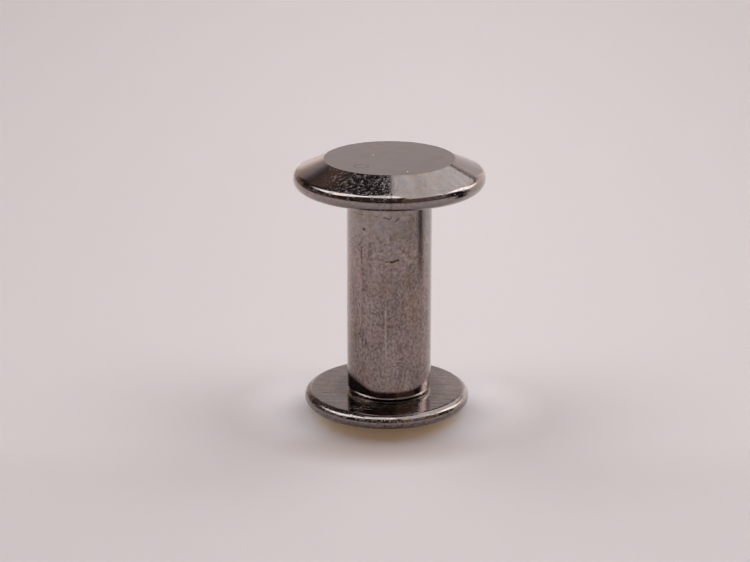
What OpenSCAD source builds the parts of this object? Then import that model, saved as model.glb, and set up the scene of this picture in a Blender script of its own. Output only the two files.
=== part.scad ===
// Screw rivet (binding post): a capped, tubular post closed by a slotted screw.
// It stands on the screw's head. Z runs up the barrel, and z = 0 is the face of the screw's head.

/* [Cap] */
// Diameter of the cap
cap_d = 9; // [7.5:0.1:14]
// Thickness of the cap, from its flat underside to its face
cap_t = 1.38; // [1.1:0.02:2]
// Diameter of the flat face in the middle of the cap
cap_face_d = 6.1; // [3:0.1:6.2]
// Radius of the cap's full-round rim
cap_rim_r = 0.45; // [0.3:0.01:0.5]

/* [Barrel] */
// Outside diameter of the barrel
barrel_d = 4; // [3.8:0.1:5]
// Length of the barrel, which is also the gap between the two heads
grip = 10; // [6:0.5:30]
// How far the rounding of the barrel's mouth draws in
foot_inset = 0.2; // [0.05:0.01:0.25]
// Height of the rounding of the barrel's mouth
foot_h = 0.25; // [0.1:0.05:1]
// How far the barrel flares out under the cap
flare_out = 0.08; // [0.02:0.01:0.3]
// Height of the flare under the cap
flare_h = 1.2; // [0.3:0.1:2]

/* [Screw head] */
// Diameter of the screw's head
head_d = 7.85; // [6.5:0.05:12]
// Thickness of the screw's head, from its flat inner side to its face
head_t = 1.2; // [0.9:0.02:1.8]
// Diameter of the flat face in the middle of the screw's head
head_face_d = 4.9; // [2.5:0.1:5]
// Radius of the head's full-round rim
head_rim_r = 0.35; // [0.25:0.01:0.4]
// How far the head sits off the axis of its shank, as it was formed
head_off = 0.11; // [0:0.01:0.2]
// Width of the driver slot
slot_w = 0.9; // [0.6:0.05:1.2]
// Depth of the driver slot
slot_depth = 0.55; // [0.3:0.05:0.6]

/* [Thread] */
// Nominal diameter of the thread
thread_d = 3; // [2.5:0.1:3.2]
// Pitch of the thread
thread_pitch = 0.5; // [0.35:0.05:0.6]
// Running clearance between the shank and the bore, on the radius
thread_gap = 0.04; // [0.02:0.01:0.08]
// How much shorter the shank is than the barrel
shank_short = 4; // [3.5:0.1:5]
// Free depth of bore past the end of the shank
tip_room = 2.2; // [0.5:0.1:2.6]
// Width of the plain neck between the head and the thread
neck_w = 0.5; // [0.2:0.1:1]
// Chamfer on the end of the shank
tip_chamfer = 0.25; // [0.1:0.05:0.4]
// Included angle of the drill point that ends the bore
drill_point = 118; // [90:1:140]

/* [Hidden] */
$fn = 128;
arc_steps = 8;
eps = 0.01;
gunmetal = [0.36, 0.35, 0.34];

barrel_r = barrel_d / 2;
shank_len = grip - shank_short;
bore_depth = shank_len + tip_room;
// Between the shank and the bore runs the pitch line of the thread, and its flanks reach as far to each side
flank_h = 0.866 * thread_pitch;
pitch_r = thread_d / 2 - 0.375 * flank_h;
shank_r = pitch_r - thread_gap / 2;
bore_r = pitch_r + thread_gap / 2;
neck_r = thread_d / 2 - 0.75 * flank_h;
mouth_r = thread_d / 2 + thread_gap;

// Points on an arc of an ellipse about c, from angle a0 to angle a1
function arc(c, rx, ry, a0, a1) = [
    for (i = [0:arc_steps])
        let (a = a0 + (a1 - a0) * i / arc_steps)
            c + [rx * cos(a), ry * sin(a)]
];

// Angle at which a line from the edge of the face just touches the rim's circle
function bevel_angle(run, drop, rim_r) = atan2(drop, run) - asin(rim_r / norm([run, drop]));

// Half section of a bevelled head: inner side on y = 0, face at y = t
module head_section(d, t, face_d, rim_r) {
    rim = [d / 2 - rim_r, rim_r];
    bevel = bevel_angle(rim.x - face_d / 2, t - rim.y, rim_r);
    polygon([
        [0, 0],
        [rim.x, 0],
        rim + rim_r * [sin(bevel), cos(bevel)],
        [face_d / 2, t],
        [0, t]
    ]);
    translate(rim) circle(rim_r);
}

// Half section of the barrel: mouth on y = 0, and y = grip under the cap
module barrel_section() {
    polygon(concat(
        [[0, 0]],
        arc([barrel_r - foot_inset, foot_h], foot_inset, foot_h, -90, 0),
        arc([barrel_r + flare_out, grip - flare_h], flare_out, flare_h, 180, 90),
        [[0, grip]]
    ));
}

// Blind hole with a chamfered mouth at z = 0 and a drill point at its end
module threaded_bore() {
    translate([0, 0, -eps]) cylinder(r = bore_r, h = bore_depth + eps);
    translate([0, 0, -eps]) cylinder(r1 = mouth_r + eps, r2 = bore_r, h = mouth_r - bore_r + eps);
    translate([0, 0, bore_depth]) cylinder(r1 = bore_r, r2 = 0, h = bore_r / tan(drill_point / 2));
}

module post() {
    color(gunmetal)
        translate([0, 0, head_t])
            difference() {
                union() {
                    rotate_extrude() barrel_section();
                    translate([0, 0, grip])
                        rotate_extrude() head_section(cap_d, cap_t, cap_face_d, cap_rim_r);
                }
                threaded_bore();
            }
}

module shank() {
    tip = shank_len - tip_chamfer;
    cylinder(r = neck_r, h = neck_w);
    translate([0, 0, neck_w]) cylinder(r = shank_r, h = tip - neck_w);
    translate([0, 0, tip]) cylinder(r1 = shank_r, r2 = shank_r - tip_chamfer, h = tip_chamfer);
}

module screw() {
    color(gunmetal)
        difference() {
            union() {
                translate([-head_off, 0, head_t])
                    mirror([0, 0, 1])
                        rotate_extrude() head_section(head_d, head_t, head_face_d, head_rim_r);
                translate([0, 0, head_t]) shank();
            }
            translate([-head_d, -slot_w / 2, -slot_depth]) cube([2 * head_d, slot_w, 2 * slot_depth]);
        }
}

post();
screw();
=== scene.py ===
import math

import bmesh
import bpy
from bpy.props import FloatProperty, FloatVectorProperty, IntProperty, PointerProperty
from mathutils import Euler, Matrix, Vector


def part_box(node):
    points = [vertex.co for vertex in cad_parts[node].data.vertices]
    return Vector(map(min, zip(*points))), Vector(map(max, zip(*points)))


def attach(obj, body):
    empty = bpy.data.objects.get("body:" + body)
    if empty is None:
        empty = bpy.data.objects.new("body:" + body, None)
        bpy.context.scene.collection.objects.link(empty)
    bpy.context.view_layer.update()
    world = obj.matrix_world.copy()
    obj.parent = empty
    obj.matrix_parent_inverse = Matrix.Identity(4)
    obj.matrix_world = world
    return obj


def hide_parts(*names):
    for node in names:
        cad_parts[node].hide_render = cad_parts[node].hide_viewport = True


bl_info = {
    "name": "Screw rivet",
    "version": (1, 0, 0),
    "blender": (4, 5, 0),
    "location": "View3D > Sidebar > Screw rivet",
    "description": "Builds a gunmetal screw rivet with real threads around its solids, and a small studio",
    "category": "Add Mesh",
}

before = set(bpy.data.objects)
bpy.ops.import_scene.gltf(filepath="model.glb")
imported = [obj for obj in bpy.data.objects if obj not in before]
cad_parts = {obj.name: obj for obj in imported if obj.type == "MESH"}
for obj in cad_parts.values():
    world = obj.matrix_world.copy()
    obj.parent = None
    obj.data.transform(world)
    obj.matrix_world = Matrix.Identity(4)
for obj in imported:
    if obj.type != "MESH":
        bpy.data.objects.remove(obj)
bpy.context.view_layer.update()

POST_LOW, POST_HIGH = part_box("post")
SCREW_LOW, SCREW_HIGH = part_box("screw")
HEAD_THICKNESS = POST_LOW.z
HEAD_SHIFT = (SCREW_LOW.x + SCREW_HIGH.x) / 2
MM = 0.001
# Included angle of the point that the drill leaves
DRILL_POINT = math.radians(118)
# Height of a sharp thread in pitches, and how far below the crest its pitch line, the wall of a bore and the
# root of a shank lie, as shares of that height
SHARP_THREAD = math.cos(math.radians(30))
PITCH_LINE = 3 / 8
BORE_WALL = 5 / 8
SHANK_ROOT = 3 / 4


# ---------------------------------------------------------------- settings


def length(name, description, default, low=0.0, high=0.1):
    """A size in metres that a user may change."""
    return FloatProperty(
        name=name,
        description=description,
        default=default,
        min=low,
        max=high,
        unit="LENGTH",
        precision=5,
    )


def share(name, description, default, high=1.0):
    """A number without a unit, such as a roughness."""
    return FloatProperty(name=name, description=description, default=default, min=0.0, max=high)


def colour(name, description, default):
    """A linear colour."""
    return FloatVectorProperty(
        name=name,
        description=description,
        default=default,
        size=3,
        min=0.0,
        max=1.0,
        subtype="COLOR",
    )


class PostSettings(bpy.types.PropertyGroup):
    """Sizes of the capped post."""

    cap_width: length("Cap", "Diameter of the cap", POST_HIGH.x - POST_LOW.x)
    cap_thickness: length("Cap thickness", "From the flat underside of the cap to its face", 1.38 * MM)
    face_width: length("Face", "Diameter of the flat face in the middle of the cap", 6.1 * MM)
    rim_radius: length("Rim", "Radius of the cap's full-round rim", 0.45 * MM)
    barrel_width: length("Barrel", "Outside diameter of the barrel", 4.0 * MM)
    foot_inset: length("Foot inset", "How far the rounding of the barrel's mouth draws in", 0.2 * MM)
    foot_height: length("Foot height", "Height of the rounding of the barrel's mouth", 0.25 * MM)
    flare_out: length("Flare", "How far the barrel flares out under the cap", 0.08 * MM)
    flare_height: length("Flare height", "Height of the flare under the cap", 1.2 * MM)
    crease_radius: length("Crease", "Radius of the worn edge between face and bevel", 0.035 * MM)
    tapped_depth: length("Tapped depth", "Depth of the thread inside the barrel", 7.0 * MM)
    drill_depth: length("Drill depth", "Depth of the drilled hole, without its point", 8.2 * MM)


class ScrewSettings(bpy.types.PropertyGroup):
    """Sizes of the slotted screw."""

    head_width: length("Head", "Diameter of the head", SCREW_HIGH.x - SCREW_LOW.x)
    face_width: length("Face", "Diameter of the flat face in the middle of the head", 4.9 * MM)
    rim_radius: length("Rim", "Radius of the head's full-round rim", 0.35 * MM)
    crease_radius: length("Crease", "Radius of the worn edge between face and bevel", 0.035 * MM)
    slot_width: length("Slot", "Width of the driver slot", 0.9 * MM)
    slot_depth: length("Slot depth", "Depth of the driver slot", 0.55 * MM)
    neck_height: length("Neck", "Height of the plain neck between head and thread", 0.5 * MM)
    root_radius: length("Root", "Radius of the rounding between neck and head", 0.1 * MM)
    tip_chamfer: length("Tip chamfer", "Chamfer on the end of the shank", 0.25 * MM)


class ThreadSettings(bpy.types.PropertyGroup):
    """The thread that the post and the screw share."""

    width: length("Thread", "Nominal diameter of the thread", 3.0 * MM)
    pitch: length("Pitch", "Rise of the thread in one turn", 0.5 * MM)
    gap: length("Gap", "Clearance between the two threads, on the radius", 0.04 * MM)
    around: IntProperty(
        name="Steps around",
        description="Vertices in one turn of every round piece",
        default=192,
    )


class FinishSettings(bpy.types.PropertyGroup):
    """Colours and gloss of the plating."""

    plating: colour("Plating", "Black nickel where it is clean", (0.245, 0.21, 0.2))
    tarnish: colour("Tarnish", "Brown cast in the plating", (0.235, 0.19, 0.165))
    bloom: colour("Bloom", "Faint blue bloom in the plating", (0.23, 0.202, 0.204))
    blush: colour("Blush", "Faint pink cast in the plating", (0.262, 0.215, 0.209))
    brass: colour("Brass", "Brass under the plating, at chips in the rims", (0.34, 0.22, 0.15))
    bare: colour("Bare scratches", "Bright metal in fresh scratches", (0.42, 0.375, 0.36))
    warmth: colour("Warmth", "What the plating of the lower barrel is toned by", (1.0, 0.93, 0.92))
    # A painted highlight: the lip of the barrel's mouth is given nearly white metal.
    painted_lip_highlight: colour("Painted lip highlight", "Bright metal on the lip of the barrel's mouth", (1.0, 0.93, 0.9))
    dust: colour("Dust", "Specks of dust", (0.85, 0.78, 0.74))
    mirror: share("Head roughness", "Roughness of the polished heads", 0.06)
    satin: share("Barrel roughness", "Roughness of the barrel", 0.13)
    foot: share("Foot roughness", "Roughness of the burnished mouth of the barrel", 0.05)
    fleck: share("Fleck roughness", "Roughness of flecks and pits on the heads", 0.6)


class StudioSettings(bpy.types.PropertyGroup):
    """Floor, lamps and camera."""

    floor: colour("Floor", "Colour of the floor", (0.727, 0.664, 0.665))
    # A painted shadow: the floor near the rivet is multiplied by this colour.
    stains_and_painted_light: colour("Painted shadow", "How the floor is toned close to the rivet", (0.72, 0.635, 0.575))
    # A painted glow: the floor under the front of the head shines with this colour, though no lamp is there.
    painted_glow: colour("Painted glow", "Light that comes up through the paper under the head", (0.1, 0.078, 0.052))
    lit_floor: colour("Lit floor", "Colour of the floor that the metal mirrors", (0.93, 0.87, 0.86))
    wall: colour("Walls", "Colour of the white walls", (0.7, 0.62, 0.605))
    gloom: colour("Gloom", "Colour of the unlit side of the room", (0.036, 0.031, 0.036))
    glow: colour("Glow", "Colour of the brown walls in the dim part of the room", (0.16, 0.1, 0.068))
    soft_tint: colour("Soft lamps", "Colour of the lamps that light the floor", (1.0, 0.98, 0.98))
    lamp_tint: colour("Lamps", "Colour of the lamps", (1.0, 1.0, 1.0))
    level: share("Level", "Brightness of all lamps", 1.0, high=4.0)
    focal_length: FloatProperty(
        name="Lens",
        description="Focal length in millimetres on a 36 mm sensor",
        default=98.98,
    )


class RivetSettings(bpy.types.PropertyGroup):
    """Everything that the panel shows."""

    post: PointerProperty(type=PostSettings)
    screw: PointerProperty(type=ScrewSettings)
    thread: PointerProperty(type=ThreadSettings)
    finish: PointerProperty(type=FinishSettings)
    studio: PointerProperty(type=StudioSettings)


# ---------------------------------------------------------------- node graphs


class Socket:
    """An output of a node, with Python's operators standing for Math nodes."""

    def __init__(self, graph, output):
        self.graph = graph
        self.output = output

    def __add__(self, other):
        return self.graph.math("ADD", self, other)

    def __radd__(self, other):
        return self.graph.math("ADD", other, self)

    def __sub__(self, other):
        return self.graph.math("SUBTRACT", self, other)

    def __rsub__(self, other):
        return self.graph.math("SUBTRACT", other, self)

    def __mul__(self, other):
        return self.graph.math("MULTIPLY", self, other)

    def __rmul__(self, other):
        return self.graph.math("MULTIPLY", other, self)

    def __truediv__(self, other):
        return self.graph.math("DIVIDE", self, other)

    def __neg__(self):
        return self.graph.math("MULTIPLY", self, -1.0)

    def __abs__(self):
        return self.graph.math("ABSOLUTE", self)

    def least(self, other):
        return self.graph.math("MINIMUM", self, other)

    def most(self, other):
        return self.graph.math("MAXIMUM", self, other)


class Graph:
    """A node tree that is filled by expressions."""

    def __init__(self, tree):
        self.tree = tree

    def node(self, kind, inputs=None, stops=None, **settings):
        """Adds a node: its settings first, then a value or a link for each named or numbered input."""
        node = self.tree.nodes.new(kind)
        for name, value in settings.items():
            setattr(node, name, value)
        if stops:
            ramp = node.color_ramp
            while len(ramp.elements) < len(stops):
                ramp.elements.new(0.5)
            for element, (place, value) in zip(ramp.elements, stops):
                element.position = place
                element.color = (value, value, value, 1.0)
        self.feed(node, inputs or {})
        return node

    def feed(self, node, inputs):
        """Gives inputs of a node, by name or number, a value or a link."""
        for key, value in inputs.items():
            target = node.inputs[key]
            if isinstance(value, Socket):
                self.tree.links.new(value.output, target)
            elif target.type == "RGBA" and len(value) == 3:
                target.default_value = (*value, 1.0)
            else:
                target.default_value = value

    def out(self, node, name=0):
        """One output of a node as a Socket."""
        return Socket(self, node.outputs[name])

    def math(self, operation, *values):
        """Math on numbers and sockets."""
        return self.out(self.node("ShaderNodeMath", dict(enumerate(values)), operation=operation))

    def vector(self, operation, *values):
        """Vector Math: DOT_PRODUCT, LENGTH and DISTANCE give a number, the others a vector."""
        inputs = dict(enumerate(values))
        if operation == "SCALE":
            inputs = {0: values[0], "Scale": values[1]}
        node = self.node("ShaderNodeVectorMath", inputs, operation=operation)
        return self.out(node, "Value" if operation in ("DOT_PRODUCT", "LENGTH", "DISTANCE") else "Vector")

    def smooth(self, value, low, high, to_low=0.0, to_high=1.0):
        """Eases from to_low to to_high as value goes from low to high."""
        node = self.node(
            "ShaderNodeMapRange",
            {"Value": value, "From Min": low, "From Max": high, "To Min": to_low, "To Max": to_high},
            interpolation_type="SMOOTHSTEP",
        )
        return self.out(node, "Result")

    def mix(self, factor, first, second, blend="MIX"):
        """Blends two colours."""
        inputs = {0: factor, 6: first, 7: second}
        return self.out(self.node("ShaderNodeMix", inputs, data_type="RGBA", blend_type=blend), 2)

    def noise(self, point, scale, detail=2.0, roughness=0.5, stretch=None):
        """Noise from 0 to 1, with scale in waves per millimetre; stretch multiplies the axes."""
        if stretch:
            point = self.vector("MULTIPLY", point, stretch)
        inputs = {"Vector": point, "Scale": scale, "Detail": detail, "Roughness": roughness}
        return self.out(self.node("ShaderNodeTexNoise", inputs), 0)

    def tone(self, tint, brightness):
        """A colour made lighter or darker by a number."""
        return self.vector("SCALE", tint, brightness)

    def patch(self, point, centre, radii, core=0.3):
        """1 inside the core of an oval patch, easing to 0 at its edge."""
        offset = self.vector("SUBTRACT", point, (*centre, 0.0))
        unit = self.vector("MULTIPLY", offset, (1 / radii[0], 1 / radii[1], 0.0))
        return self.smooth(self.vector("LENGTH", unit), 1.0, core)

    def stroke(self, point, start, end, width):
        """1 on a scratch from start to end, easing to 0 at its width from the middle."""
        along = Vector((*end, 0.0)) - Vector((*start, 0.0))
        offset = self.vector("SUBTRACT", point, (*start, 0.0))
        progress = self.vector("DOT_PRODUCT", offset, tuple(along / along.length_squared))
        nearest = self.vector("SCALE", tuple(along), progress.most(0.0).least(1.0))
        return self.smooth(self.vector("DISTANCE", offset, nearest), width, 0.3 * width)

    def flat(self, x, y):
        """A point in a plane."""
        return self.out(self.node("ShaderNodeCombineXYZ", {"X": x, "Y": y}))


# ---------------------------------------------------------------- turned shapes


def arc(centre, radius, start, end, steps):
    """Points on an arc of a profile. Angles are in degrees, 0 outwards and 90 up."""
    points = []
    for i in range(steps + 1):
        angle = math.radians(start + (end - start) * i / steps)
        points.append((centre[0] + radius * math.cos(angle), centre[1] + radius * math.sin(angle)))
    return points


def oval(centre, half_width, half_height, start, end, steps):
    """Points on an arc of an ellipse."""
    unit = arc((0, 0), 1, start, end, steps)
    return [(centre[0] + half_width * x, centre[1] + half_height * y) for x, y in unit]


def fillet(before, corner, after, radius, steps=4):
    """Points that round a corner, with one more on each side that keeps the flats flat."""
    corner = Vector(corner)
    back = (Vector(before) - corner).normalized()
    ahead = (Vector(after) - corner).normalized()
    half = back.angle(ahead) / 2
    reach = radius / math.tan(half)
    centre = corner + (back + ahead).normalized() * radius / math.sin(half)
    first = corner + back * reach - centre
    last = corner + ahead * reach - centre
    points = [corner + back * 2 * reach]
    for i in range(steps + 1):
        points.append(centre + first.lerp(last, i / steps).normalized() * radius)
    points.append(corner + ahead * 2 * reach)
    return [tuple(p) for p in points]


def line(start, end, steps):
    """Points between two points of a profile, without the ends."""
    return [
        (start[0] + (end[0] - start[0]) * i / steps, start[1] + (end[1] - start[1]) * i / steps)
        for i in range(1, steps)
    ]


def bevelled_head(width, thickness, face_width, rim_radius, crease_radius):
    """Profile of a head from the middle of its face to its flat inner side, which lies on height 0."""
    rim = (width / 2 - rim_radius, rim_radius)
    face_edge = (face_width / 2, thickness)
    run, drop = rim[0] - face_edge[0], face_edge[1] - rim[1]
    bevel = math.degrees(math.atan2(drop, run) - math.asin(rim_radius / math.hypot(run, drop)))
    round_rim = arc(rim, rim_radius, 90 - bevel, -90, 28)
    crease = fillet((0, thickness), face_edge, round_rim[0], crease_radius)
    face = [(0, thickness)] + line((0, thickness), crease[0], 10)
    return face + crease + line(crease[-1], round_rim[0], 8) + round_rim


def turned(bm, profile, around):
    """Turns a profile about Z: faces point out if it runs from the top outwards and down."""
    rings = []
    for radius, height in profile:
        if radius < 1e-9:
            rings.append([bm.verts.new((0, 0, height))])
            continue
        ring = []
        for i in range(around):
            angle = 2 * math.pi * i / around
            ring.append(bm.verts.new((radius * math.cos(angle), radius * math.sin(angle), height)))
        rings.append(ring)
    for upper, lower in zip(rings, rings[1:]):
        for i in range(around):
            j = (i + 1) % around
            top = (upper[i % len(upper)], upper[j % len(upper)])
            bottom = (lower[i % len(lower)], lower[j % len(lower)])
            bm.faces.new(dict.fromkeys((top[0], *bottom, top[1])))


# ---------------------------------------------------------------- thread


# Whole turns that are added to a height on the thread, so that its phase is never taken below zero
SPARE_TURNS = 64.0
# A start radius in metres that is wider than any thread here
NO_LIMIT = 1.0
# What the thread tree is given, and as what kind of value
THREAD_INPUTS = (
    ("Around", "NodeSocketInt"),
    ("Rows Per Turn", "NodeSocketInt"),
    ("Pitch", "NodeSocketFloat"),
    ("Origin", "NodeSocketFloat"),
    ("Start", "NodeSocketFloat"),
    ("End", "NodeSocketFloat"),
    ("Flank Radius", "NodeSocketFloat"),
    ("Inner Radius", "NodeSocketFloat"),
    ("Outer Radius", "NodeSocketFloat"),
    ("Start Radius", "NodeSocketFloat"),
    ("Mouth Radius", "NodeSocketFloat"),
    ("End Radius", "NodeSocketFloat"),
    ("Fade", "NodeSocketFloat"),
    ("Inside", "NodeSocketBool"),
    ("Material", "NodeSocketMaterial"),
)


def cut_radius(g, given, height, turn):
    """Distance of the thread from its axis at a height and a turn, cut off at all its limits."""
    pitch, start, end = (g.out(given, name) for name in ("Pitch", "Start", "End"))
    phase = g.math("FRACT", (height - g.out(given, "Origin")) / pitch - turn + SPARE_TURNS)
    flank = abs(phase * 2.0 - 1.0) - 0.5
    radius = g.out(given, "Flank Radius") + flank * pitch * SHARP_THREAD
    radius = radius.most(g.out(given, "Inner Radius")).least(g.out(given, "Outer Radius"))
    # A shank rises from its start radius and a bore is belled out to its mouth radius, both at 45 degrees.
    # Either fades to its end radius.
    radius = radius.least(g.out(given, "Start Radius") + (height - start))
    radius = radius.most(g.out(given, "Mouth Radius") - (height - start))
    return radius.least(g.out(given, "End Radius") + (end - height) * g.out(given, "Fade"))


def thread_tree():
    """Geometry Nodes that wrap a grid along a helix: a cut thread between two plain circles."""
    tree = bpy.data.node_groups.new("cut_thread", "GeometryNodeTree")
    tree.interface.new_socket("Geometry", in_out="OUTPUT", socket_type="NodeSocketGeometry")
    for name, kind in THREAD_INPUTS:
        tree.interface.new_socket(name, in_out="INPUT", socket_type=kind)
    g = Graph(tree)
    given = g.node("NodeGroupInput")
    pitch, start, end = (g.out(given, name) for name in ("Pitch", "Start", "End"))
    turns = g.math("CEIL", (end - start) / pitch) + 1.0
    sheet = g.node(
        "GeometryNodeMeshGrid",
        {
            "Size X": 1.0,
            "Size Y": 1.0,
            "Vertices X": g.out(given, "Around") + 1.0,
            "Vertices Y": turns * g.out(given, "Rows Per Turn") + 1.0,
        },
    )
    place = g.node("ShaderNodeSeparateXYZ", {"Vector": g.out(g.node("GeometryNodeInputPosition"))})
    turn = g.out(place, "X") + 0.5
    rise = g.out(place, "Y") + 0.5
    # Rows follow the helix, and are held between the two ends
    height = start + (rise * turns + turn - 1.0) * pitch
    height = height.most(start).least(end)
    radius = cut_radius(g, given, height, turn)
    angle = turn * (2 * math.pi)
    point = g.node(
        "ShaderNodeCombineXYZ",
        {"X": radius * g.math("COSINE", angle), "Y": radius * g.math("SINE", angle), "Z": height},
    )
    placed = {"Geometry": g.out(sheet, "Mesh"), "Position": g.out(point)}
    shaped = g.node("GeometryNodeSetPosition", placed)
    turned_in = g.node(
        "GeometryNodeFlipFaces",
        {"Mesh": g.out(shaped), "Selection": g.out(given, "Inside")},
    )
    welded = g.node("GeometryNodeMergeByDistance", {"Geometry": g.out(turned_in), "Distance": 1e-7})
    realized = g.node("GeometryNodeRealizeInstances", {"Geometry": g.out(welded)})
    dressed = g.node(
        "GeometryNodeSetMaterial",
        {"Geometry": g.out(realized), "Material": g.out(given, "Material")},
    )
    g.node("NodeGroupOutput", {"Geometry": g.out(dressed)})
    return tree


def threaded_skin(values):
    """A plain mesh of one thread, made by the tree with the given input values."""
    tree = bpy.data.node_groups.get("cut_thread") or thread_tree()
    carrier = bpy.data.objects.new("thread_carrier", bpy.data.meshes.new("thread_carrier"))
    bpy.context.scene.collection.objects.link(carrier)
    modifier = carrier.modifiers.new("thread", "NODES")
    modifier.node_group = tree
    for item in tree.interface.items_tree:
        if item.in_out == "INPUT":
            modifier[item.identifier] = values[item.name]
    evaluated = carrier.evaluated_get(bpy.context.evaluated_depsgraph_get())
    skin = bpy.data.meshes.new_from_object(evaluated)
    bpy.data.objects.remove(carrier)
    return skin


# ---------------------------------------------------------------- finishes


def surface(name):
    """A new material, its graph, its Principled node and the place on the piece in millimetres."""
    material = bpy.data.materials.new(name)
    material.use_nodes = True
    material.node_tree.nodes.clear()
    g = Graph(material.node_tree)
    shader = g.node("ShaderNodeBsdfPrincipled")
    g.node("ShaderNodeOutputMaterial", {"Surface": g.out(shader)})
    here = g.out(g.node("ShaderNodeTexCoord"), "Object")
    return material, g, shader, g.vector("SCALE", here, 1 / MM)


def bumped(g, height, strength, distance):
    """A normal from a height field given in millimetres."""
    node = g.node("ShaderNodeBump", {"Height": height, "Strength": strength, "Distance": distance * MM})
    return g.out(node, "Normal")


def clouded(g, here, finish):
    """Plating with faint patches of brown, blue and pink."""
    brown = g.smooth(g.noise(here, 0.9, 3.0, 0.6), 0.48, 0.68)
    blue = g.smooth(g.noise(here, 1.3, 2.0, 0.5, (1.0, 1.2, 0.9)), 0.52, 0.68)
    pink = g.smooth(g.noise(here, 1.1, 2.0, 0.5, (0.9, 1.0, 1.3)), 0.54, 0.7)
    tint = g.mix(brown, tuple(finish.plating), tuple(finish.tarnish))
    tint = g.mix(blue, tint, tuple(finish.bloom))
    return g.mix(pink, tint, tuple(finish.blush))


def polished(name, finish, level, edge, wear, marks):
    """Mirror plating of one head, with flecks, fine scratches and a worn rim.

    level is the height of the middle of the rim, edge the radius of the head and wear how chipped its rim
    is. marks gives what only this head has.
    """
    material, g, shader, here = surface(name)
    place = g.node("ShaderNodeSeparateXYZ", {"Vector": here})
    x, y, z = (g.out(place, axis) for axis in "XYZ")
    flat = g.flat(x, y)
    rim = g.smooth(g.vector("LENGTH", flat), edge - 0.2, edge - 0.05)
    # Flecks gather in swarms
    swarm = g.smooth(g.noise(here, 0.9, 2.0, 0.5), 0.32, 0.52, 0.6, 1.0)
    large = g.smooth(g.noise(here, 6.2, 4.0, 0.72), 0.54, 0.6) * swarm
    small = g.smooth(g.noise(here, 12.0, 3.0, 0.7), 0.56, 0.64) * swarm
    flecks = large.most(small * 0.7)
    pits = g.noise(here, 9.0, 3.0, 0.65)
    chips = g.smooth(g.noise(here, 6.0, 3.0, 0.65), 0.57, 0.63) * rim
    pitted = rim * g.smooth(z, level + 0.15, level - 0.1)
    worn = g.smooth(abs(z - level - 0.12), 0.2, 0.05) * g.smooth(g.noise(here, 2.6, 3.0, 0.6), 0.52, 0.62)
    only = marks(g, flat, rim)
    tint = g.mix(worn * 0.22, clouded(g, here, finish), tuple(finish.brass))
    tint = g.mix(flecks * only["dust"] * 0.3 + only["bare"], tint, tuple(finish.bare))
    # The plating is darkened by the marks' stains and, on the head, by painted shade, and lightened there by
    # a painted highlight.
    tint = g.tone(tint, 1.0 - only["stains_and_painted_light"] - pitted * g.smooth(pits, 0.5, 0.65) * (0.12 + 0.9 * wear))
    rough = finish.mirror + finish.fleck * flecks * only["dust"] + (0.03 + 0.05 * wear) * chips
    rough = rough + 0.3 * only["bare"] + 0.1 * only["haze"]
    relief = pits * (0.12 + (0.15 + 2.6 * wear) * pitted) + g.noise(here, 4.0, 3.0) * 0.2
    relief = relief - chips * (1.6 + 0.8 * wear) - flecks * only["dust"] * 0.4 + only["relief"]
    g.feed(
        shader,
        {
            "Base Color": g.mix(only["speck"], tint, tuple(finish.dust)),
            "Metallic": 1.0 - only["speck"],
            "Roughness": rough,
            "Normal": bumped(g, relief, 0.3, 0.01),
        },
    )
    return material


# Marks on the cap in millimetres, seen from above
SPOT_MIDDLE = (-1.28, -1.5)
CAP_SPECKS = ((-0.75, 0.51), (0.82, -2.4), (-2.94, 0.81))
CAP_SMEAR = (-3.43, 0.45)
# Radius at which a turn round the cap is unrolled
STREAK_RADIUS = 4.0


def cap_marks(g, flat, rim):
    """Water spot, specks, haze and smear of the cap, the streaks on its bevel and the nick in its rim."""
    face_edge = bpy.context.scene.screw_rivet.post.face_width / 2 / MM
    reach = g.vector("LENGTH", flat)
    face = g.smooth(reach, face_edge + 0.03, face_edge - 0.05)
    place = g.node("ShaderNodeSeparateXYZ", {"Vector": flat})
    x, y = g.out(place, "X"), g.out(place, "Y")
    radial = g.flat(g.math("ARCTAN2", x, -y) * STREAK_RADIUS, reach)
    streaks = g.noise(radial, 2.4, 4.0, 0.7, (1.0, 0.45, 1.0)) - 0.5
    spot = g.patch(flat, SPOT_MIDDLE, (0.42, 0.42), 0.75) - g.patch(flat, SPOT_MIDDLE, (0.34, 0.34), 0.6)
    specks = 0.0
    for middle in CAP_SPECKS:
        specks = g.patch(flat, middle, (0.045, 0.08), 0.3) + specks
    nick = g.stroke(flat, (0.06, -4.3), (0.08, -4.6), 0.09)
    cloud = g.noise(g.vector("MULTIPLY", flat, (1.0, 2.2, 1.0)), 0.7, 3.0, 0.6)
    hazy = g.smooth(cloud, 0.45, 0.7) * face
    return {
        "bare": 0.0,
        "speck": specks.least(1.0),
        "stains_and_painted_light": spot.most(0.0) * 0.45
        + nick * 0.3
        + hazy * 0.08
        + g.patch(flat, CAP_SMEAR, (0.14, 0.1)) * 0.4
        + streaks * (1.0 - face) * (1.0 - rim) * 0.7,
        "dust": (1.0 - 0.97 * face)
        * (1.0 - rim)
        * g.smooth(x, 0.4, -0.1, 0.35, 1.0)
        * g.smooth(x, -3.5, -2.2)
        * g.smooth(reach, 3.1, 3.7, 0.7, 1.0),
        "haze": hazy * 0.5,
        "relief": nick * -0.8,
    }


# Direction of the brushed lines on the inner side of the head
BRUSH_ANGLE = math.radians(4)
# Fresh scratches on the inner side of the head: from, to and width, in millimetres
HEAD_SCRATCHES = (
    ((-1.67, -3.35), (-1.05, -2.75), 0.05),
    ((-1.5, -2.9), (-1.1, -2.35), 0.04),
    ((-1.6, -2.8), (-0.6, -3.0), 0.04),
    ((-1.3, -2.55), (-0.3, -2.7), 0.03),
    ((0.9, -3.3), (1.7, -2.9), 0.05),
)
# Painted highlight: a brighter patch on the right of the head
PAINTED_HIGHLIGHT_MIDDLE = (3.2, 0.4)


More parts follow.
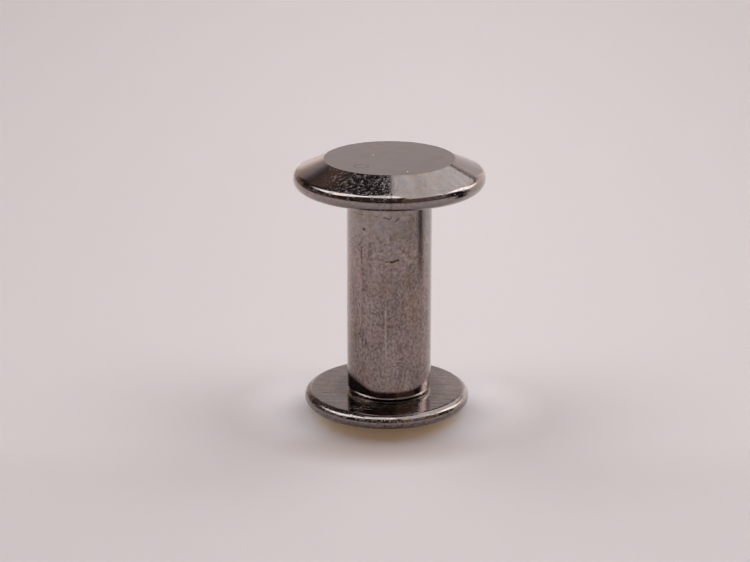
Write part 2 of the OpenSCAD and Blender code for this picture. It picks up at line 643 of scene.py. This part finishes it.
def head_marks(g, flat, rim):
    """Brushed lines on the inner side of the screw's head, with a few fresh scratches in front, a painted
    highlight on its right and painted shade round the barrel's foot.
    """
    brushing = {"Vector": flat, "Angle": BRUSH_ANGLE}
    across = g.out(g.node("ShaderNodeVectorRotate", brushing, rotation_type="Z_AXIS"))
    lines = g.noise(across, 1.0, 4.0, 0.68, (0.45, 4.0, 1.0))
    fresh = 0.0
    for start, end, width in HEAD_SCRATCHES:
        fresh = g.stroke(flat, start, end, width) + fresh
    brushed = g.smooth(lines, 0.52, 0.72) * (1.0 - rim)
    return {
        "bare": fresh.least(1.0) * 0.6 + brushed * 0.2,
        "speck": 0.0,
        # Besides darker brushed lines, this holds a painted highlight on the right of the head and painted
        # shade round the foot of the barrel.
        "stains_and_painted_light": g.smooth(lines, 0.48, 0.3) * 0.2 * (1.0 - rim)
        - g.patch(flat, PAINTED_HIGHLIGHT_MIDDLE, (1.6, 2.8)) * 0.27
        + g.smooth(g.vector("LENGTH", flat), 2.85, 2.3) * 0.3,
        "dust": g.smooth(lines, 0.4, 0.6, 0.1, 0.35) + rim * 0.4,
        "haze": brushed,
        "relief": lines * (4.0 - 4.0 * rim),
    }


# Marks on the barrel, unrolled: from, to and width in millimetres around it from the front and up from the
# floor, then how much darker they are, or lighter below zero
NICKS_AND_PAINTED_STREAK = (
    ((-1.9, 10.3), (-1.3, 10.28), 0.05, 0.3),
    ((-0.68, 10.32), (-0.56, 10.28), 0.06, 0.5),
    ((-0.25, 10.27), (-0.02, 10.21), 0.055, 0.55),
    ((-0.02, 10.21), (0.1, 10.28), 0.05, 0.3),
    ((0.3, 10.1), (0.46, 10.23), 0.06, 0.5),
    ((-1.25, 9.61), (-1.22, 9.6), 0.09, 0.8),
    ((0.08, 9.3), (0.1, 9.22), 0.12, 0.3),
    ((-0.42, 9.15), (-0.34, 9.12), 0.1, 0.28),
    ((-0.22, 8.98), (-0.02, 9.0), 0.07, 0.35),
    ((-0.6, 9.34), (-0.52, 9.25), 0.1, 0.25),
    ((-0.16, 8.15), (0.14, 8.13), 0.05, 0.45),
    ((0.1, 8.12), (0.44, 8.25), 0.055, 0.75),
    ((-1.39, 8.75), (-1.39, 7.95), 0.06, 0.3),
    # These three wide dark marks paint a dark streak of reflection down the left of the barrel.
    ((-1.24, 7.65), (-1.2, 6.75), 0.2, 0.27),
    ((-1.28, 6.6), (-1.31, 4.6), 0.2, 0.2),
    ((-1.45, 4.4), (-1.1, 3.9), 0.25, 0.22),
    ((-2.6, 3.2), (-2.56, 3.18), 0.07, 0.5),
    ((-0.17, 5.75), (-0.14, 3.3), 0.05, -0.45),
    ((0.5, 8.46), (1.05, 8.12), 0.14, -0.12),
    ((-1.26, 4.98), (-1.26, 4.88), 0.06, -0.35),
    ((-1.23, 4.8), (-1.23, 4.7), 0.06, -0.35),
    ((-1.27, 4.16), (-1.27, 4.04), 0.06, -0.35),
    ((1.64, 2.54), (1.8, 2.64), 0.04, -0.35),
)
# Coloured patches on the barrel, unrolled: middle, radii and strength
BLUE_PATCHES = (
    ((0.3, 7.5), (0.4, 0.55), 1.0),
    ((0.4, 6.85), (0.35, 0.3), 0.9),
    ((-0.25, 9.9), (0.6, 0.5), 0.7),
    ((0.25, 4.6), (0.35, 0.5), 0.8),
)
BROWN_PATCHES = (
    ((1.05, 9.8), (0.35, 0.5), 1.0),
    ((0.45, 9.4), (0.3, 0.25), 0.7),
    ((1.15, 5.7), (0.5, 1.3), 1.0),
    ((0.9, 7.2), (0.4, 0.5), 0.7),
    ((-1.35, 2.5), (0.35, 0.9), 0.9),
    ((-1.75, 5.0), (0.25, 1.0), 0.8),
    ((-0.35, 3.6), (0.25, 0.4), 0.6),
)
# Broad darker and lighter patches of the barrel, unrolled: middle, radii and how much darker, or lighter
# below zero. The one down the right edge and the one low on the left at the mouth are painted shade.
BARREL_TONES_AND_PAINTED_SHADE = (
    ((0.1, 6.1), (1.1, 2.0), 0.14),
    ((1.1, 9.7), (0.6, 1.2), 0.26),
    ((0.5, 9.35), (0.55, 0.45), 0.13),
    ((1.1, 10.1), (0.3, 0.35), 0.1),
    ((1.1, 7.2), (0.5, 1.2), 0.16),
    ((1.5, 3.4), (0.9, 1.2), -0.16),
    ((-1.2, 5.5), (0.6, 2.4), -0.05),
    ((2.6, 8.6), (0.6, 2.6), 0.16),
    ((-2.3, 1.6), (1.3, 0.75), 0.35),
)
# Ripples that a tool left on the barrel: middle of the patch, depth of the arcs' common centre below it, and
# how close they lie
SCUFF_MIDDLE = (0.42, 3.08)
SCUFF_DROP = 0.9
SCUFFS_PER_MM = 7.0
# Height of the barrel's mouth and its radius, in millimetres
LIP_LEVEL = HEAD_THICKNESS / MM
BARREL_RADIUS = 2.0


def patched(g, point, tint, finish):
    """Plating with the barrel's coloured patches."""
    for patches, shade in ((BLUE_PATCHES, finish.bloom), (BROWN_PATCHES, finish.tarnish)):
        for middle, radii, strength in patches:
            tint = g.mix(g.patch(point, middle, radii) * strength, tint, tuple(shade))
    return tint


def barrel_tones_and_painted_shade(g, point):
    """How much darker the broad patches and the painted shade make the barrel, and the tool's ripples from
    -1 to 1.
    """
    tones_and_painted_shade = 0.0
    for middle, radii, amount in BARREL_TONES_AND_PAINTED_SHADE:
        tones_and_painted_shade = g.patch(point, middle, radii) * amount + tones_and_painted_shade
    ring = g.vector("DISTANCE", point, (SCUFF_MIDDLE[0], SCUFF_MIDDLE[1] - SCUFF_DROP, 0.0))
    ripples = g.math("SINE", ring * (2 * math.pi * SCUFFS_PER_MM))
    return tones_and_painted_shade, ripples * g.patch(point, SCUFF_MIDDLE, (0.55, 0.3))


def nicks_and_painted_streak(g, point):
    """The dark and the light marks of the barrel, with a painted dark streak of reflection among the dark
    ones.
    """
    dark, light = 0.0, 0.0
    for start, end, width, depth in NICKS_AND_PAINTED_STREAK:
        mark = g.stroke(point, start, end, width) * abs(depth)
        dark, light = (mark + dark, light) if depth > 0 else (dark, mark + light)
    return dark, light


def satin(finish):
    """Barrel plating: satin and mottled, with drawn lines along Z, nicks and coloured patches, painted
    shade, a painted dark streak of reflection and painted highlights on its upper left and its lip.
    """
    material, g, shader, here = surface("barrel_gunmetal")
    place = g.node("ShaderNodeSeparateXYZ", {"Vector": here})
    x, y, z = (g.out(place, axis) for axis in "XYZ")
    turn = g.math("ARCTAN2", x, -y)
    wall = g.flat(turn * BARREL_RADIUS, z)
    wobble = g.out(g.node("ShaderNodeTexNoise", {"Vector": here, "Scale": 4.0, "Detail": 3.0}), "Color")
    wobble = g.vector("SUBTRACT", wobble, (0.5, 0.5, 0.5))
    marked = g.vector("ADD", wall, g.vector("SCALE", wobble, 0.25))
    tones_and_painted_shade, scuffs = barrel_tones_and_painted_shade(g, marked)
    dark, light = nicks_and_painted_streak(g, g.vector("ADD", wall, g.vector("SCALE", wobble, 0.1)))
    # The mottle is round under the cap and drawn out along Z lower down
    round_mottle = g.noise(here, 6.5, 5.0, 0.8)
    long_mottle = g.noise(here, 8.5, 5.0, 0.8, (1.0, 1.0, 0.65))
    blend = g.mix(g.smooth(z, 9.0, 5.5), round_mottle, long_mottle)
    mottle = g.out(g.node("ShaderNodeSeparateColor", {"Color": blend}))
    drawn = g.noise(here, 3.5, 3.0, 0.6, (1.0, 1.0, 0.06))
    broad = g.noise(here, 1.0, 2.0, 0.5, (1.0, 1.0, 0.5))
    tint = patched(g, marked, clouded(g, here, finish), finish)
    tint = g.mix(g.smooth(z, 9.8, 7.8), tint, g.vector("MULTIPLY", tint, tuple(finish.warmth)))
    grain = mottle - 0.5
    clean = g.smooth(z, 8.4, 9.8)
    warmed = g.vector("MULTIPLY", tint, tuple(finish.warmth))
    tint = g.mix(g.smooth(grain, 0.02, -0.1) * 0.8, tint, warmed)
    # On the upper barrel the left side is painted lighter, a painted highlight.
    shade = 0.95 + clean * g.smooth(x, 0.6, -0.4) * 0.08 + grain * (3.2 - 1.9 * clean)
    shade = shade + (drawn - 0.5) * 0.5 + (broad - 0.5) * 0.35 + scuffs * 0.3
    tint = g.tone(tint, (shade - tones_and_painted_shade - dark).most(0.08))
    tint = g.mix(light.least(1.0), tint, tuple(finish.bare))
    # The lip is painted bright as a highlight, darkened by painted shade in the middle of its front
    painted_lip_shade = g.smooth(abs(turn - 0.15), 0.8, 0.35)
    lip = g.tone(tuple(finish.painted_lip_highlight), 1.0 - painted_lip_shade * 0.66)
    tint = g.mix(g.smooth(z, LIP_LEVEL + 0.26, LIP_LEVEL + 0.2), tint, lip)
    relief = grain * 2.0 + drawn * 0.8 + scuffs * 0.4 - dark
    burnished = g.smooth(z, 2.3, 1.8)
    rough = finish.satin - grain * 0.25
    # The mouth leans in on the left and out in front
    lean = g.smooth(turn, -0.9, -0.35, 6.0, -12.0) * g.smooth(z, LIP_LEVEL - 0.2, LIP_LEVEL + 1.2)
    g.feed(
        shader,
        {
            "Base Color": tint,
            "Metallic": 1.0,
            "Roughness": rough + (finish.foot - rough) * burnished,
            "Normal": bumped(g, relief * (1.0 - 0.5 * burnished) + lean, 0.3, 0.012),
        },
    )
    return material


def thin_plating(finish):
    """Thinly plated thread, slot and bore."""
    material, g, shader, here = surface("thread_gunmetal")
    cloud = g.noise(here, 2.0, 4.0, 0.6)
    g.feed(
        shader,
        {
            "Base Color": clouded(g, here, finish),
            "Metallic": 1.0,
            "Roughness": 0.2 + 0.15 * cloud,
            "Normal": bumped(g, g.noise(here, 12.0, 2.0), 0.3, 0.01),
        },
    )
    return material


def polished_cap(finish):
    """Finish of the cap."""
    post = bpy.context.scene.screw_rivet.post
    edge = post.cap_width / 2 / MM
    level = (POST_HIGH.z - post.cap_thickness + post.rim_radius) / MM
    return polished("cap_gunmetal", finish, level, edge, 0.25, cap_marks)


def polished_head(finish):
    """Finish of the screw's head."""
    screw = bpy.context.scene.screw_rivet.screw
    edge = screw.head_width / 2 / MM
    level = (HEAD_THICKNESS - screw.rim_radius) / MM
    return polished("head_gunmetal", finish, level, edge, 0.6, head_marks)


def finishes():
    """The four finishes, made once, in the order CAP, HEAD, BARREL, CUT."""
    finish = bpy.context.scene.screw_rivet.finish
    made = []
    for name, make in (
        ("cap_gunmetal", polished_cap),
        ("head_gunmetal", polished_head),
        ("barrel_gunmetal", satin),
        ("thread_gunmetal", thin_plating),
    ):
        made.append(bpy.data.materials.get(name) or make(finish))
    return made


# ---------------------------------------------------------------- pieces


CAP, HEAD, BARREL, CUT = range(4)


def thread_inputs(thread, places):
    """Input values of the thread tree that both threads share, with the places of one of them."""
    return {
        "Around": thread.around,
        "Rows Per Turn": 16,
        "Pitch": thread.pitch,
        "Origin": HEAD_THICKNESS,
        "Inside": False,
        "Material": finishes()[CUT],
        **places,
    }


def thread_radius(thread, depth):
    """Radius of the thread at a depth below its crest, given as a share of the sharp height."""
    return thread.width / 2 - depth * SHARP_THREAD * thread.pitch


def assemble(name, parts, body, node):
    """Welds turned parts and thread skins into one closed piece that stands for a node."""
    bm = bmesh.new()
    for mesh, finish_index in parts:
        first = len(bm.faces)
        bm.from_mesh(mesh)
        bm.faces.ensure_lookup_table()
        if finish_index is not None:
            for face in bm.faces[first:]:
                face.material_index = finish_index
        bpy.data.meshes.remove(mesh)
    bmesh.ops.remove_doubles(bm, verts=bm.verts[:], dist=0.0002 * MM)
    open_edges = [edge for edge in bm.edges if not edge.is_manifold]
    if open_edges:
        raise RuntimeError(f"{name} has {len(open_edges)} open edges")
    mesh = bpy.data.meshes.new(name)
    bm.to_mesh(mesh)
    bm.free()
    for material in finishes():
        mesh.materials.append(material)
    mesh.shade_smooth()
    mesh.set_sharp_from_angle(angle=math.radians(35))
    piece = bpy.data.objects.new(name, mesh)
    bpy.context.scene.collection.objects.link(piece)
    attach(piece, body)
    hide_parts(node)
    return piece


def mesh_of(name, profile, around, finish_index):
    """A turned profile as a mesh with one finish."""
    bm = bmesh.new()
    turned(bm, profile, around)
    for face in bm.faces:
        face.material_index = finish_index
    mesh = bpy.data.meshes.new(name)
    bm.to_mesh(mesh)
    bm.free()
    return mesh


def post_profiles(post, drill, bell):
    """Profiles of the cap, of the outside of the barrel and of the drilled end of its bore."""
    mouth = HEAD_THICKNESS
    underside = POST_HIGH.z - post.cap_thickness
    barrel = post.barrel_width / 2
    upright = bevelled_head(
        post.cap_width, post.cap_thickness, post.face_width, post.rim_radius, post.crease_radius
    )
    cap = [(x, underside + z) for x, z in upright]
    flare_middle = (barrel + post.flare_out, underside - post.flare_height)
    flare = oval(flare_middle, post.flare_out, post.flare_height, 90, 180, 12)
    cap += line(cap[-1], flare[0], 6) + flare[:1]
    foot_middle = (barrel - post.foot_inset, mouth + post.foot_height)
    foot = oval(foot_middle, post.foot_inset, post.foot_height, 0, -90, 14)
    wall = flare + line(flare[-1], foot[0], 30) + foot + [(bell, mouth)]
    bore_end = mouth + post.drill_depth
    point = bore_end + drill / math.tan(DRILL_POINT / 2)
    hole = [(drill, mouth + post.tapped_depth), (drill, bore_end), (0, point)]
    return cap, wall, hole


class RIVET_OT_post(bpy.types.Operator):
    """Build the capped post with its tapped barrel"""

    bl_idname = "rivet.post"
    bl_label = "Capped post"

    def execute(self, context):
        settings = context.scene.screw_rivet
        post, thread = settings.post, settings.thread
        drill = thread_radius(thread, BORE_WALL)
        bell = thread.width / 2 + thread.gap
        cap, wall, hole = post_profiles(post, drill, bell)
        places = {
            "Start": HEAD_THICKNESS,
            "End": HEAD_THICKNESS + post.tapped_depth,
            "Flank Radius": thread_radius(thread, PITCH_LINE) + thread.gap / 2,
            "Inner Radius": drill,
            "Outer Radius": thread.width / 2 + thread.gap / 2,
            "Start Radius": NO_LIMIT,
            "Mouth Radius": bell,
            "End Radius": drill,
            "Fade": 0.35,
            "Inside": True,
        }
        parts = [
            (mesh_of("cap", cap, thread.around, CAP), CAP),
            (mesh_of("barrel", wall, thread.around, BARREL), BARREL),
            (threaded_skin(thread_inputs(thread, places)), CUT),
            (mesh_of("drill_hole", hole, thread.around, CUT), CUT),
        ]
        assemble("capped_post", parts, "post", "post")
        return {"FINISHED"}


def shift_head(mesh, inner, outer):
    """Slides a head to its place off the axis; on its inner side the move fades out from outer to inner."""
    for vertex in mesh.vertices:
        moved = 1.0
        if vertex.co.z > HEAD_THICKNESS - 1e-7:
            reach = (vertex.co.xy.length - inner) / (outer - inner)
            moved = min(max(reach, 0.0), 1.0)
        vertex.co.x += HEAD_SHIFT * moved


def slotted(mesh, cutter):
    """The mesh with the cutter taken away."""
    blank = bpy.data.objects.new("blank", mesh)
    tool = bpy.data.objects.new("slot_cutter", cutter)
    for each in (blank, tool):
        bpy.context.scene.collection.objects.link(each)
    modifier = blank.modifiers.new("slot", "BOOLEAN")
    modifier.operation = "DIFFERENCE"
    modifier.solver = "EXACT"
    modifier.object = tool
    cut = bpy.data.meshes.new_from_object(blank.evaluated_get(bpy.context.evaluated_depsgraph_get()))
    for each in (blank, tool):
        bpy.data.objects.remove(each)
    return cut


def slot_cutter(screw):
    """A bar along X with a rounded floor and flared lips."""
    half = screw.slot_width / 2
    corner = 0.08 * MM
    lip = 0.03 * MM
    floor = arc((half - corner, screw.slot_depth - corner), corner, 90, 0, 5)
    side = [(-y, z) for y, z in floor[::-1]]
    outline = [(-half - 3 * lip, -2 * lip), (-half - lip, 0), (-half, lip)] + side
    outline += floor + [(half, lip), (half + lip, 0), (half + 3 * lip, -2 * lip)]
    bm = bmesh.new()
    ends = []
    for x in (-screw.head_width, screw.head_width):
        ends.append([bm.verts.new((x, y, z)) for y, z in outline])
    bm.faces.new(ends[0])
    bm.faces.new(ends[1][::-1])
    for i in range(len(outline)):
        j = (i + 1) % len(outline)
        bm.faces.new((ends[0][i], ends[1][i], ends[1][j], ends[0][j]))
    bmesh.ops.recalc_face_normals(bm, faces=bm.faces[:])
    mesh = bpy.data.meshes.new("slot_cutter")
    bm.to_mesh(mesh)
    bm.free()
    return mesh


def slotted_head(screw, around, neck, neck_end):
    """The screw's head with its slot and its neck, which is open where the thread is welded on."""
    upright = bevelled_head(
        screw.head_width, HEAD_THICKNESS, screw.face_width, screw.rim_radius, screw.crease_radius
    )
    head = [(x, HEAD_THICKNESS - z) for x, z in upright][::-1]
    corner = (neck, HEAD_THICKNESS)
    root = [(0, neck_end), (neck, neck_end)]
    root += fillet((neck, neck_end), corner, head[0], screw.root_radius, 6)
    blank = mesh_of("head", root + line(root[-1], head[0], 16) + head, around, HEAD)
    shift_head(blank, neck + 2 * screw.root_radius, head[0][0])
    mesh = slotted(blank, slot_cutter(screw))
    bpy.data.meshes.remove(blank)
    bm = bmesh.new()
    bm.from_mesh(mesh)
    lid = [f for f in bm.faces if f.calc_center_median().z > neck_end - 0.01 * MM]
    bmesh.ops.delete(bm, geom=lid, context="FACES")
    bm.to_mesh(mesh)
    bm.free()
    return mesh


class RIVET_OT_screw(bpy.types.Operator):
    """Build the slotted screw that closes the post"""

    bl_idname = "rivet.screw"
    bl_label = "Slotted screw"

    def execute(self, context):
        settings = context.scene.screw_rivet
        screw, thread = settings.screw, settings.thread
        neck = thread_radius(thread, SHANK_ROOT)
        neck_end = HEAD_THICKNESS + screw.neck_height
        head = slotted_head(screw, thread.around, neck, neck_end)
        tip = SCREW_HIGH.z
        flank = thread_radius(thread, PITCH_LINE) - thread.gap / 2
        tip_radius = flank - screw.tip_chamfer
        places = {
            "Start": neck_end,
            "End": tip,
            "Flank Radius": flank,
            "Inner Radius": neck,
            "Outer Radius": thread.width / 2 - thread.gap / 2,
            "Start Radius": neck,
            "Mouth Radius": 0.0,
            "End Radius": tip_radius,
            "Fade": 1.0,
        }
        skin = threaded_skin(thread_inputs(thread, places))
        end = mesh_of("tip", [(0, tip), (tip_radius, tip)], thread.around, CUT)
        assemble("slotted_screw", [(head, None), (skin, CUT), (end, CUT)], "screw", "screw")
        return {"FINISHED"}


# ---------------------------------------------------------------- stage


# Fields of light by direction: azimuth 0 is towards the camera and 90 is +X, elevation is above the horizon,
# all in degrees. Lean is how far a field moves in azimuth as it rises by one degree, and softness is that of
# its edges.
SOFTBOXES = (
    # middle azimuth, half width, lowest, highest, lean, softness, radiance
    (88.0, 90.0, 54.0, 100.0, 0.0, 3.0, 1.35),
    (118.0, 47.0, 28.0, 54.0, 0.0, 1.5, 1.4),
    (50.0, 26.0, 36.0, 54.0, 0.0, 4.0, 1.4),
    (-74.0, 24.0, 30.0, 62.0, 1.3, 3.0, 3.4),
    (-14.0, 34.0, 53.0, 84.0, 0.0, 4.0, 2.2),
    (108.0, 14.0, 15.0, 40.0, -0.8, 3.5, 3.2),
)
WALLS = (
    (133.0, 26.0, -15.0, 23.5, 0.0, 1.5, 1.6),
    (176.0, 18.0, -15.0, 25.5, 0.0, 3.0, 0.84),
    (176.0, 18.0, 19.0, 26.0, 0.0, 2.5, 0.16),
    (164.0, 8.0, -15.0, 24.5, 0.0, 4.0, 0.3),
    (-162.0, 11.0, -15.0, 27.0, 0.0, 7.0, 0.6),
)
GLOWS = (
    (-105.0, 45.0, -8.0, 14.0, 0.0, 6.0, 0.8),
    (45.0, 28.0, -8.0, 33.0, 0.0, 6.0, 1.5),
    (-15.0, 28.0, 8.0, 40.0, 0.0, 8.0, 0.4),
    (-152.0, 18.0, -4.0, 18.0, 0.0, 8.0, 1.6),
    (-148.0, 14.0, 33.0, 48.0, 0.0, 7.0, 1.0),
)

# What lights the floor: two banks beside the rivet, a little behind it, and a soft ceiling
FLOOR_LAMPS = (
    (108.0, 45.0, 36.0, 80.0, 0.0, 12.0, 3.05),
    (-108.0, 45.0, 36.0, 80.0, 0.0, 12.0, 2.75),
    (180.0, 180.0, 76.0, 110.0, 0.0, 8.0, 1.85),
)


def studio_world(studio):
    """Softboxes and white walls by direction, in a dark room."""
    world = bpy.data.worlds.new("studio")
    bpy.context.scene.world = world
    world.use_nodes = True
    world.node_tree.nodes.clear()
    g = Graph(world.node_tree)
    ray = g.out(g.node("ShaderNodeTexCoord"), "Generated")
    way = g.node("ShaderNodeSeparateXYZ", {"Vector": g.vector("NORMALIZE", ray)})
    x, y, z = (g.out(way, axis) for axis in "XYZ")
    azimuth = g.math("ARCTAN2", x, -y) * math.degrees(1)
    elevation = g.math("ARCSINE", z.most(-1.0).least(1.0)) * math.degrees(1)

    def fields(rows):
        """Light of all fields in one direction."""
        total = 0.0
        for middle, half_width, low, high, lean, soft, radiance in rows:
            offset = azimuth - middle - (elevation - (low + high) / 2) * lean
            aside = abs(g.math("WRAP", offset, 180.0, -180.0))
            inside = (
                g.smooth(aside, half_width + soft, half_width - soft)
                * g.smooth(elevation, low - soft, low + soft)
                * g.smooth(elevation, high + soft, high - soft)
            )
            total = inside * radiance + total
        return total

    light = g.vector("SCALE", tuple(studio.lamp_tint), fields(SOFTBOXES) * studio.level)
    light = g.vector("ADD", light, g.vector("SCALE", tuple(studio.wall), fields(WALLS) * studio.level))
    light = g.vector("ADD", light, g.vector("SCALE", tuple(studio.glow), fields(GLOWS) * studio.level))
    light = g.vector("ADD", light, tuple(studio.gloom))
    path = g.node("ShaderNodeLightPath")
    soft = g.vector("SCALE", tuple(studio.soft_tint), fields(FLOOR_LAMPS) * studio.level)
    light = g.mix(g.out(path, "Is Glossy Ray"), soft, light)
    light = g.mix(g.out(path, "Is Camera Ray"), light, tuple(studio.wall))
    background = g.node("ShaderNodeBackground", {"Color": light, "Strength": 1.0})
    g.node("ShaderNodeOutputWorld", {"Surface": g.out(background)})


# Middle of the painted warm shadow in front of the rivet, in millimetres
PAINTED_SHADOW_MIDDLE = (-0.3, -4.4)
# Middle of the painted pool of light on the floor, in millimetres, and how far it takes to darken by one
# step across and in depth
PAINTED_POOL_MIDDLE = (4.0, 30.0, 0.0)
PAINTED_POOL_FALLOFF = (20.0, 75.0)


def mirrored_floor(g, studio, azimuth, reach):
    """The floor as metal sees it: brighter, with one dark gap on the right and a painted shadow near the
    rivet.
    """
    # The lit table ends in front and at the sides, and runs on to the wall behind
    table = g.smooth(reach, 180.0, 120.0).most(g.smooth(abs(azimuth), 100.0, 125.0))
    front = g.smooth(abs(azimuth), 60.0, 15.0) * g.smooth(reach, 15.0, 80.0) * 0.45
    gap = g.smooth(azimuth, 77.0, 87.0) * g.smooth(azimuth, 106.0, 95.0) * g.smooth(reach, 20.5, 27.5)
    right = g.smooth(azimuth, 98.0, 104.0) * g.smooth(azimuth, 179.0, 150.0) * 0.12
    # Painted shadow: the mirrored floor is darker near the rivet.
    near = g.smooth(reach, 28.0, 12.0) * 0.18
    mirrored = g.tone(tuple(studio.lit_floor), (1.0 - front) * (1.0 - gap) * (1.0 - near) + right)
    return g.mix(table, tuple(studio.gloom), mirrored)


def floor_finish(studio):
    """Pale, slightly translucent paper, with a painted warm shadow in front of the rivet, a painted glow
    under its head, painted lighter patches beside it and a painted pool of light.
    """
    material, g, shader, here = surface("pale_paper")
    place = g.node("ShaderNodeSeparateXYZ", {"Vector": here})
    x, y = g.out(place, "X"), g.out(place, "Y")
    azimuth = g.math("ARCTAN2", x, -y) * math.degrees(1)
    reach = g.vector("LENGTH", here)
    # A painted warm shadow in front of the rivet, toned into the base colour.
    close = g.patch(g.flat(x, y), PAINTED_SHADOW_MIDDLE, (5.8, 3.0), 0.1)
    # A painted glow under the front of the head.
    under = g.smooth(reach, 4.3, 3.2) * g.smooth(y, 1.0, -2.0)
    # Painted light: the paper beside the rivet, on both sides, is made lighter.
    beside = g.patch(g.flat(abs(x), y), (4.4, 0.2), (3.6, 4.9))
    offset = g.vector("SUBTRACT", here, PAINTED_POOL_MIDDLE)
    offset = g.vector("MULTIPLY", offset, (1 / PAINTED_POOL_FALLOFF[0], 1 / PAINTED_POOL_FALLOFF[1], 0.0))
    painted_falloff = g.vector("LENGTH", offset).least(2.6) * 0.087
    # The paper is painted as a pool of light: dimmer away from its middle and towards the front, and lighter
    # beside the rivet.
    paper = g.tone(tuple(studio.floor), 1.0 - painted_falloff - g.smooth(y, -3.0, -9.0) * 0.06 + beside * 0.2)
    seen_in_metal = g.out(g.node("ShaderNodeLightPath"), "Is Glossy Ray")
    lit = g.mix(seen_in_metal, paper, mirrored_floor(g, studio, azimuth, reach))
    shader.subsurface_method = "BURLEY"
    g.feed(
        shader,
        {
            "Base Color": g.mix(close, lit, g.vector("MULTIPLY", lit, tuple(studio.stains_and_painted_light))),
            "Emission Color": g.vector("SCALE", tuple(studio.painted_glow), under),
            "Emission Strength": 1.0,
            "Roughness": 0.8,
            "Specular IOR Level": 0.1,
            "Subsurface Weight": 1.0,
            "Subsurface Radius": (1.0, 0.62, 0.38),
            "Subsurface Scale": 4.5 * MM,
        },
    )
    return material


# Half the side of the floor, in metres
FLOOR_HALF = 0.6
# Place of the camera in millimetres, its turn in degrees and the width of its sensor
CAMERA_PLACE = (0.0, -92.433, 37.46)
CAMERA_TURN = (71.5123, 0.0223, 0.4076)
SENSOR_WIDTH = 36.0


class RIVET_OT_stage(bpy.types.Operator):
    """Add the floor, the studio light and the camera"""

    bl_idname = "rivet.stage"
    bl_label = "Stage"

    def execute(self, context):
        scene = context.scene
        studio = scene.screw_rivet.studio
        half = FLOOR_HALF
        mesh = bpy.data.meshes.new("floor")
        corners = [(-half, -half, 0), (half, -half, 0), (half, half, 0), (-half, half, 0)]
        mesh.from_pydata(corners, [], [(0, 1, 2, 3)])
        mesh.materials.append(floor_finish(studio))
        floor = bpy.data.objects.new("floor", mesh)
        scene.collection.objects.link(floor)
        studio_world(studio)
        data = bpy.data.cameras.new("camera")
        data.lens = studio.focal_length
        data.sensor_width = SENSOR_WIDTH
        data.clip_start = 0.001
        camera = bpy.data.objects.new("camera", data)
        camera.location = Vector(CAMERA_PLACE) * MM
        camera.rotation_euler = Euler([math.radians(angle) for angle in CAMERA_TURN])
        scene.collection.objects.link(camera)
        scene.camera = camera
        scene.view_settings.view_transform = "Standard"
        return {"FINISHED"}


# ---------------------------------------------------------------- panel


class RIVET_PT_panel(bpy.types.Panel):
    """Sizes, finish and studio of the rivet, with the buttons that build them"""

    bl_label = "Screw rivet"
    bl_idname = "RIVET_PT_panel"
    bl_space_type = "VIEW_3D"
    bl_region_type = "UI"
    bl_category = "Screw rivet"

    def draw(self, context):
        settings = context.scene.screw_rivet
        for title, group, operators in (
            ("Stage", settings.studio, ("rivet.stage",)),
            ("Post", settings.post, ("rivet.post",)),
            ("Screw", settings.screw, ("rivet.screw",)),
            ("Thread", settings.thread, ()),
            ("Finish", settings.finish, ()),
        ):
            box = self.layout.box()
            box.label(text=title)
            for name in group.__annotations__:
                box.prop(group, name)
            for operator in operators:
                box.operator(operator)


CLASSES = (
    PostSettings,
    ScrewSettings,
    ThreadSettings,
    FinishSettings,
    StudioSettings,
    RivetSettings,
    RIVET_OT_stage,
    RIVET_OT_post,
    RIVET_OT_screw,
    RIVET_PT_panel,
)


def register():
    for each in CLASSES:
        bpy.utils.register_class(each)
    bpy.types.Scene.screw_rivet = PointerProperty(type=RivetSettings)


def unregister():
    del bpy.types.Scene.screw_rivet
    for each in reversed(CLASSES):
        bpy.utils.unregister_class(each)


def main():
    register()
    bpy.ops.rivet.stage()
    bpy.ops.rivet.post()
    bpy.ops.rivet.screw()


if __name__ == "__main__":
    main()
